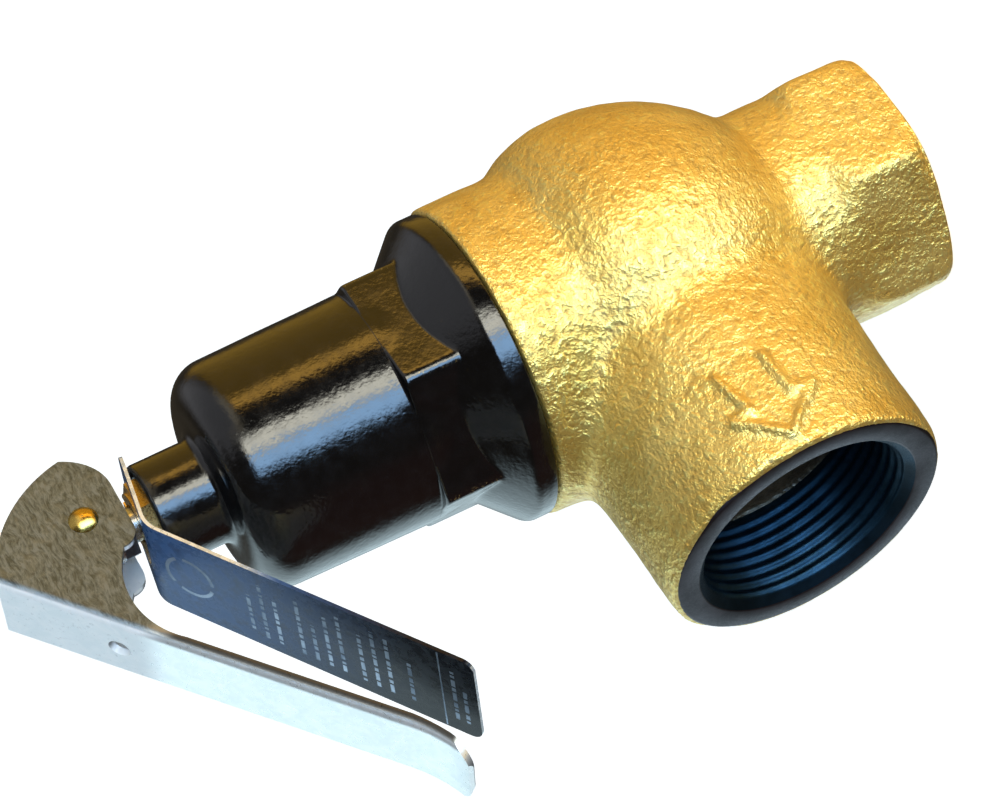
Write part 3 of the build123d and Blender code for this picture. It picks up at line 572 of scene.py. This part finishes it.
def cast_body():
    """The body as a sand casting: one skin with soft junctions and edges, and the flow arrow."""
    source = NODES["body"]
    low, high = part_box("body")
    vertices = [tuple(v.co) for v in source.data.vertices]
    faces = [tuple(p.vertices) for p in source.data.polygons]
    bars, bar_faces = arrow_bars()
    base = len(vertices)
    vertices += bars
    faces += [tuple(i + base for i in face) for face in bar_faces]
    piece = mesh_object("cast_body", vertices, faces, ("cast_bronze_finish", "bronze_inside_painted_shade"))
    remesh = piece.modifiers.new("skin", "REMESH")
    remesh.mode = "VOXEL"
    remesh.voxel_size = 0.00060
    bpy.context.view_layer.update()
    skin = bpy.data.meshes.new_from_object(piece.evaluated_get(bpy.context.evaluated_depsgraph_get()))
    piece.modifiers.clear()
    piece.data = skin
    skin.name = "cast_body"
    soften_casting(piece)
    roughen_casting(piece, low, high)
    skin.shade_smooth()
    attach(piece, "valve")
    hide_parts("body")


# the body's outside from throat to neck: (height, radius) in millimetres
SKIN = ((0, 21.2), (17, 21.2), (17.5, 21.5), (25.5, 21.5), (31, 26.5), (36.6, 29.6), (44, 32.0),
        (52, 32.9), (60, 31.7), (66, 28.4), (81, 28.4))


def skin_radius(z):
    for (z0, r0), (z1, r1) in zip(SKIN, SKIN[1:]):
        if z <= z1:
            return r0 + (r1 - r0) * (z - z0) / (z1 - z0)
    return SKIN[-1][1]


def near(value, middle, width):
    return math.exp(-((value - middle) / width) ** 2)


def is_outside(x, y, z):
    """True on the cast outside of the body, away from the ports and the chamber."""
    reach, boss = math.hypot(x, y), math.hypot(y, z - OUTLET_Z)
    if x > 20 and boss < 28.5:
        return boss > 23.0
    return reach > skin_radius(z) - 2.0


def junction_weight(x, y, z):
    """How much the skin is melted here: most where the boss meets the bulb and throat."""
    reach, boss = math.hypot(x, y), math.hypot(y, z - OUTLET_Z)
    at_boss = near(boss, 27.2, 5.0) * near(reach, skin_radius(z) + 0.8, 5.0) if x > 4 else 0
    at_neck = near(z, 66.0, 3.2)
    at_throat = near(z, 25.0, 3.2) + 0.8 * near(z, 17.5, 1.6)
    return min(1.0, 1.6 * at_boss + 0.25 * at_neck + 0.3 * at_throat)


def soften_casting(piece):
    """Rounds the edges a little, and melts the junctions of boss, bulb, throat and hexagon together."""
    everywhere = piece.vertex_groups.new(name="everywhere")
    junction = piece.vertex_groups.new(name="junction")
    corners = piece.vertex_groups.new(name="corners")
    for v in piece.data.vertices:
        x, y, z = (c / MM for c in v.co)
        if is_outside(x, y, z):
            on_arrow = y > 20 and 34.5 < x < 53 and 41 < z < 59
            everywhere.add([v.index], 0.1 if on_arrow else 1.0, "REPLACE")
            if z < 17.5:
                corners.add([v.index], min(1.0, max(0.0, (math.hypot(x, y) - 21.5) / 1.2)), "REPLACE")
            weight = junction_weight(x, y, z)
            if weight > 0.02:
                junction.add([v.index], weight, "REPLACE")
    for group, times in (("junction", 150), ("corners", 55), ("everywhere", 14)):
        smooth = piece.modifiers.new(group, "SMOOTH")
        smooth.vertex_group = group
        smooth.factor = 0.5
        smooth.iterations = times
    bpy.context.view_layer.update()
    data = bpy.data.meshes.new_from_object(piece.evaluated_get(bpy.context.evaluated_depsgraph_get()))
    piece.modifiers.clear()
    piece.data = data
    piece.vertex_groups.clear()


def roughen_casting(piece, low, high):
    """Gives the skin a sand mould's unevenness, opens the two ports, and darkens what lies inside with
    painted shade.
    """
    data = piece.data
    moves = []
    for v in data.vertices:
        x, y, z = (c / MM for c in v.co)
        reach, boss = math.hypot(x, y), math.hypot(y, z - OUTLET_Z)
        co = v.co.copy()
        if is_outside(x, y, z) and x < 54.6 and z > 0.6:
            swell = noise.noise(v.co * 90) * 0.22 + noise.noise(v.co * 330) * 0.10
            co += v.normal * (swell - 0.14) * MM
        if x > 53.4 and boss < OUTLET_MOUTH_R:
            stretch = OUTLET_MOUTH_R / boss
            co.y, co.z = co.y * stretch, (OUTLET_Z + (z - OUTLET_Z) * stretch) * MM
        if z < 1.4 and reach < INLET_MOUTH_R:
            stretch = INLET_MOUTH_R / reach
            co.x, co.y = co.x * stretch, co.y * stretch
        for axis in range(3):
            co[axis] = min(max(co[axis], low[axis] + 0.00002), high[axis] - 0.00002)
        moves.append(co)
    for v, co in zip(data.vertices, moves):
        v.co = co
    data.update()
    # painted shade: faces inside the body take the darker bronze copy
    for polygon in data.polygons:
        x, y, z = (c / MM for c in polygon.center)
        if not is_outside(x, y, z) and x < 54.5 and z > 1.0:
            polygon.material_index = 1


def smooth_bonnet():
    """The bonnet's outer surface, turned in one grid with its hexagon's corners and edges softened."""
    foot, rim_top, collar_r, hex_top = 80.6, 84.7, 27.8, 99.0
    flats, corner_r, turn, corner = 40.9, 23.62, 5.0, 1.4
    dome_r, dome_top_r, dome_top, shoulder = 20.9, 20.5, 131.3, 6.8
    neck_r, neck_top = 9.3, 142.7
    rows = [("flat", 25.0, foot), ("flat", 27.35, foot), ("flat", 27.68, foot + 0.12)]
    rows += [("flat", collar_r, foot + 0.4), ("flat", collar_r, foot + 1.6)]
    rows.append(("flat", collar_r, rim_top - 1.4))
    for k in range(1, 7):
        a = math.radians(45 * k / 6)
        rows.append(("flat", collar_r - 2.2 * (1 - math.cos(a)), rim_top - 1.4 + 2.2 * math.sin(a)))
    knee_r, knee_z = rows[-1][1], rows[-1][2]
    for k in range(1, 45):
        rows.append(("hex", knee_r, knee_z + (hex_top - 0.5 - knee_z) * k / 44, knee_z))
    for k in range(1, 6):
        a = math.radians(90 * k / 5)
        rows.append(("rim", 0.5 * (1 - math.cos(a)), hex_top - 0.5 + 0.5 * math.sin(a), knee_z, knee_r))
    rows += [("foot", dome_r + 0.45, hex_top), ("foot", dome_r + 0.14, hex_top + 0.12)]
    rows.append(("flat", dome_r, hex_top + 0.5))
    side_top = dome_top - shoulder
    for k in range(1, 16):
        t = k / 15
        height = hex_top + 0.5 + (side_top - hex_top - 0.5) * t
        rows.append(("flat", dome_r + (dome_top_r - dome_r) * t, height))
    for k in range(1, 15):
        a = math.radians(90 * k / 14)
        reach = dome_top_r - shoulder * (1 - math.cos(a))
        rows.append(("flat", reach, side_top + shoulder * math.sin(a)))
    rows += [("flat", 12.2, dome_top + 0.04), ("flat", 11.2, dome_top + 0.12)]
    for k in range(1, 8):
        a = math.radians(90 * k / 7)
        rows.append(("flat", neck_r + 1.6 * (1 - math.sin(a)), dome_top + 0.2 + 1.6 * (1 - math.cos(a))))
    for reach, height in (
        (neck_r, dome_top + 4), (neck_r, neck_top - 3), (neck_r, neck_top - 0.6),
        (neck_r - 0.15, neck_top - 0.2), (neck_r - 0.5, neck_top), (6.4, neck_top),
        (5.9, neck_top - 0.1), (5.45, neck_top - 0.6), (5.45, neck_top - 4),
    ):
        rows.append(("flat", reach, height))

    def place(row, angle):
        kind, reach, z = row[:3]
        if kind == "foot":
            reach = max(dome_r, min(reach, hexagon_reach(angle, flats, turn, corner) - 0.55))
        elif kind != "flat":
            flat_reach = hexagon_reach(angle, flats, turn, corner)
            turned_r = corner_r + 0.5 - max(0.0, z - hex_top + 1.9) * 0.64
            hexagon = smooth_min(flat_reach, turned_r, 0.5)
            knee = row[3]
            cone = (row[4] if kind == "rim" else reach) - (z - knee)
            if kind == "rim":
                hexagon -= row[1]
            swell = dome_r - max(0.0, hex_top - 1.0 - z) * 0.169
            reach = smooth_max(smooth_max(cone, hexagon, 0.5), swell, 0.35)
        wave = noise.noise(Vector((math.cos(angle) * 2.2, math.sin(angle) * 2.2, z * 0.11))) * 0.05
        reach += wave - 0.05 if reach > 9 else 0
        return (reach * math.cos(angle) * MM, reach * math.sin(angle) * MM, z * MM)

    vertices, faces = turned_grid(rows, 300, place)
    piece = mesh_object("bonnet_casting", vertices, faces, ("black_paint_finish",))
    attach(piece, "valve")
    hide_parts("bonnet")


# ---------------------------------------------------------------- the nameplate's print
PLATE_TURN = math.radians(6.0)
PLATE_SLOPE = math.radians(31.8)


def plate_point(along, across, lift=0.0):
    """A point on the plate's slanting face, in millimetres along from its bend, across it and above it."""
    bend_x, bend_z = 8.8, 142.7 + 0.6 + 17.4 * math.tan(math.radians(9.6))
    x = bend_x + along * math.cos(PLATE_SLOPE) + lift * math.sin(PLATE_SLOPE)
    z = bend_z - along * math.sin(PLATE_SLOPE) + lift * math.cos(PLATE_SLOPE)
    return (
        (x * math.cos(PLATE_TURN) - across * math.sin(PLATE_TURN)) * MM,
        (x * math.sin(PLATE_TURN) + across * math.cos(PLATE_TURN)) * MM,
        z * MM,
    )


def plate_print():
    """A plain ring, ruled lines and rows of dashes, a hair above the plate's enamel."""
    vertices, faces = [], []

    def bar(a0, c0, a1, c1, width):
        length = math.hypot(a1 - a0, c1 - c0)
        ux, uy = (a1 - a0) / length, (c1 - c0) / length
        base = len(vertices)
        for lift in (-0.05, 0.02):
            for a, c in ((a0, c0), (a1, c1)):
                for side in (-1, 1):
                    off = side * width / 2
                    vertices.append(plate_point(a - uy * off, c + ux * off, lift))
        for quad in ((4, 6, 7, 5), (0, 1, 3, 2), (0, 4, 5, 1), (2, 3, 7, 6), (0, 2, 6, 4), (1, 5, 7, 3)):
            faces.append(tuple(base + i for i in quad))

    ring_at, ring_r, pieces = (7.5, 0.5), 4.4, 36
    for k in range(pieces):
        if k % 12 < 10:
            a, b = 2 * math.pi * k / pieces, 2 * math.pi * (k + 1) / pieces
            bar(ring_at[0] + ring_r * math.cos(a), ring_at[1] + ring_r * math.sin(a),
                ring_at[0] + ring_r * math.cos(b), ring_at[1] + ring_r * math.sin(b), 0.7)
    bar(55.3, -9.9, 55.3, 9.9, 0.28)
    for row, (along, first, last) in enumerate(
        ((19.0, -6.5, 3.0), (21.6, -7.5, 7.0), (24.2, -7.5, 4.5), (28.6, -7.5, 7.5), (31.2, -7.5, 2.0),
         (33.8, -7.5, 6.0), (36.4, -7.5, 7.5), (40.2, -7.5, 5.0), (42.8, -7.5, 7.5), (45.4, -7.5, 7.0),
         (49.4, -7.0, 3.0), (57.6, -7.0, 6.0), (59.6, -7.0, 2.0))
    ):
        across, k = first, row
        while across < last:
            dash = (0.9, 1.7, 0.6, 1.2, 2.1)[k % 5]
            bar(along, across, along, min(across + dash, last), 0.75)
            across += dash + (0.45, 0.7, 0.45)[k % 3]
            k += 1
    piece = mesh_object("nameplate_print", vertices, faces, ("print_silver",), smooth=False)
    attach(piece, "valve")


add_camera()
add_world()
add_floor()
make_materials()
finish_cad_nodes()
outlet_port()
inlet_port()
cast_body()
smooth_bonnet()
plate_print()
bpy.context.scene.view_settings.view_transform = "Standard"
